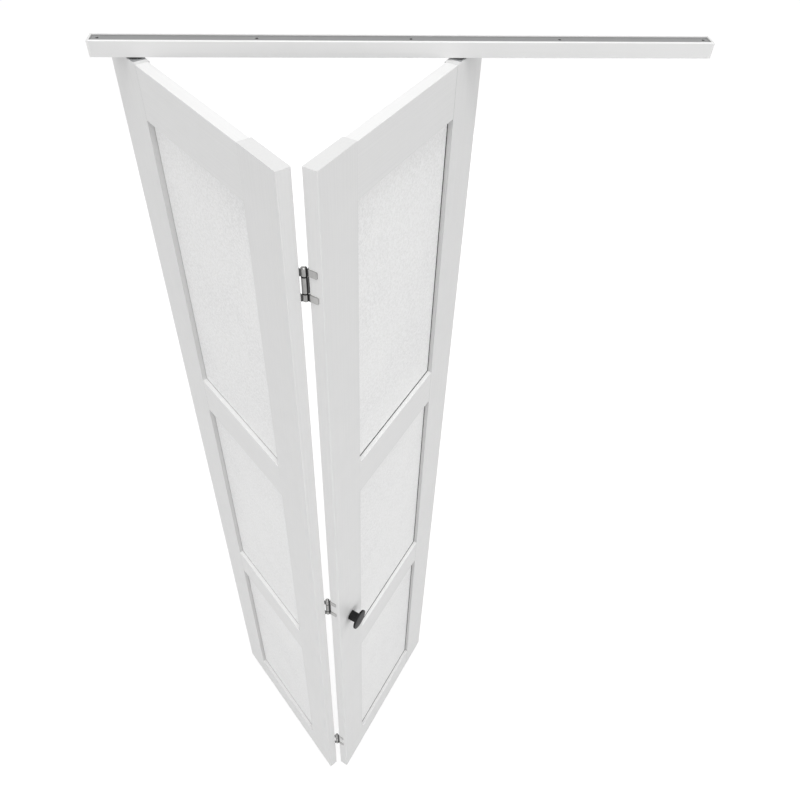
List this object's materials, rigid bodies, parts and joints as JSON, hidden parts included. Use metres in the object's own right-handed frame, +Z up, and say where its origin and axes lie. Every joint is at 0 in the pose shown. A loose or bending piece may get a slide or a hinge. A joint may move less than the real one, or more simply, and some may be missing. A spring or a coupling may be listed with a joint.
{
  "type": "bifold closet door",
  "caption": "Two-panel bifold closet door with frosted glass lites in painted frames, hinged in the middle, turning on a pivot and led by a wheel in a head track.",
  "frame": {"origin": "middle screw hole of the head track, at the upper face of its web", "axes": "+X along the track from the pivot side to the guide side, +Y into the closet, +Z up"},
  "size_m": [0.917, 0.3828, 2.0513],
  "materials": {
    "white_paint": "satin paint",
    "frosted_glass": "frosted",
    "grey_seal": "matte",
    "track_white": "satin",
    "white_plastic": "matte",
    "nylon": "matte",
    "black_nylon": "matte",
    "zinc_steel": "bright zinc",
    "satin_steel": "satin",
    "black_metal": "matte"
  },
  "bodies": {
    "head_track": {"bracket_set_screw": "zinc_steel", "pivot_bracket": "zinc_steel", "track_cap_guide_end": "white_plastic", "track_cap_pivot_end": "white_plastic", "track_channel": "track_white"},
    "pivot_panel": {"bottom_pivot_nut": "zinc_steel", "bottom_pivot_pin": "zinc_steel", "bottom_pivot_sleeve": "zinc_steel", "hinge_low_pivot_leaf": "satin_steel", "hinge_mid_pivot_leaf": "satin_steel", "hinge_top_pivot_leaf": "satin_steel", "pivot_panel_pane_1": "frosted_glass", "pivot_panel_pane_2": "frosted_glass", "pivot_panel_pane_3": "frosted_glass", "pivot_panel_rail_1": "white_paint", "pivot_panel_rail_2": "white_paint", "pivot_panel_rail_3": "white_paint", "pivot_panel_rail_4": "white_paint", "pivot_panel_retainer_1": "white_paint", "pivot_panel_retainer_2": "white_paint", "pivot_panel_retainer_3": "white_paint", "pivot_panel_screws": "zinc_steel", "pivot_panel_seal_1": "grey_seal", "pivot_panel_seal_2": "grey_seal", "pivot_panel_seal_3": "grey_seal", "pivot_panel_stile_hinge": "white_paint", "pivot_panel_stile_outer": "white_paint", "top_pivot_sleeve": "zinc_steel", "top_pivot_spring": "zinc_steel"},
    "guide_panel": {"guide_panel_pane_1": "frosted_glass", "guide_panel_pane_2": "frosted_glass", "guide_panel_pane_3": "frosted_glass", "guide_panel_rail_1": "white_paint", "guide_panel_rail_2": "white_paint", "guide_panel_rail_3": "white_paint", "guide_panel_rail_4": "white_paint", "guide_panel_retainer_1": "white_paint", "guide_panel_retainer_2": "white_paint", "guide_panel_retainer_3": "white_paint", "guide_panel_screws": "zinc_steel", "guide_panel_seal_1": "grey_seal", "guide_panel_seal_2": "grey_seal", "guide_panel_seal_3": "grey_seal", "guide_panel_stile_hinge": "white_paint", "guide_panel_stile_outer": "white_paint", "guide_sleeve": "zinc_steel", "guide_spring": "zinc_steel", "hinge_low_guide_leaf": "satin_steel", "hinge_low_pin": "satin_steel", "hinge_mid_guide_leaf": "satin_steel", "hinge_mid_pin": "satin_steel", "hinge_top_guide_leaf": "satin_steel", "hinge_top_pin": "satin_steel", "hinge_washers": "black_nylon", "knob": "black_metal", "knob_screw": "zinc_steel"},
    "pivot_pin": {"top_pivot_pin": "zinc_steel"},
    "guide_pin": {"guide_pin": "zinc_steel"},
    "guide_wheel": {"guide_wheel": "nylon"}
  },
  "joints": [
    {"name": "pivot", "type": "hinge", "parent": "head_track", "child": "pivot_panel", "pos_m": [-0.4025, 0, -0.0248], "axis": [0, 0, 1], "range_deg": [-32, 55.4]},
    {"name": "fold", "type": "hinge", "parent": "pivot_panel", "child": "guide_panel", "pos_m": [-0.16314, -0.31633, -0.0248], "axis": [0, 0, 1], "range_deg": [-110.8, 64]},
    {"name": "pivot_pin_slide", "type": "slide", "parent": "pivot_panel", "child": "pivot_pin", "axis": [0, 0, 1], "range_m": [-0.014, 0], "stiffness_N_per_m": 400, "springref_m": 0.01, "deforming": ["top_pivot_spring"]},
    {"name": "guide_pin_slide", "type": "slide", "parent": "guide_panel", "child": "guide_pin", "axis": [0, 0, 1], "range_m": [-0.0021, 0], "stiffness_N_per_m": 400, "springref_m": 0.01, "deforming": ["guide_spring"]},
    {"name": "guide_wheel_spin", "type": "hinge", "parent": "guide_pin", "child": "guide_wheel", "pos_m": [0.07622, 0, -0.0248], "axis": [0, 0, 1], "continuous": true}
  ],
  "couplings": [
    {"joint": "fold", "follows": "pivot", "ratio": -2}
  ]
}
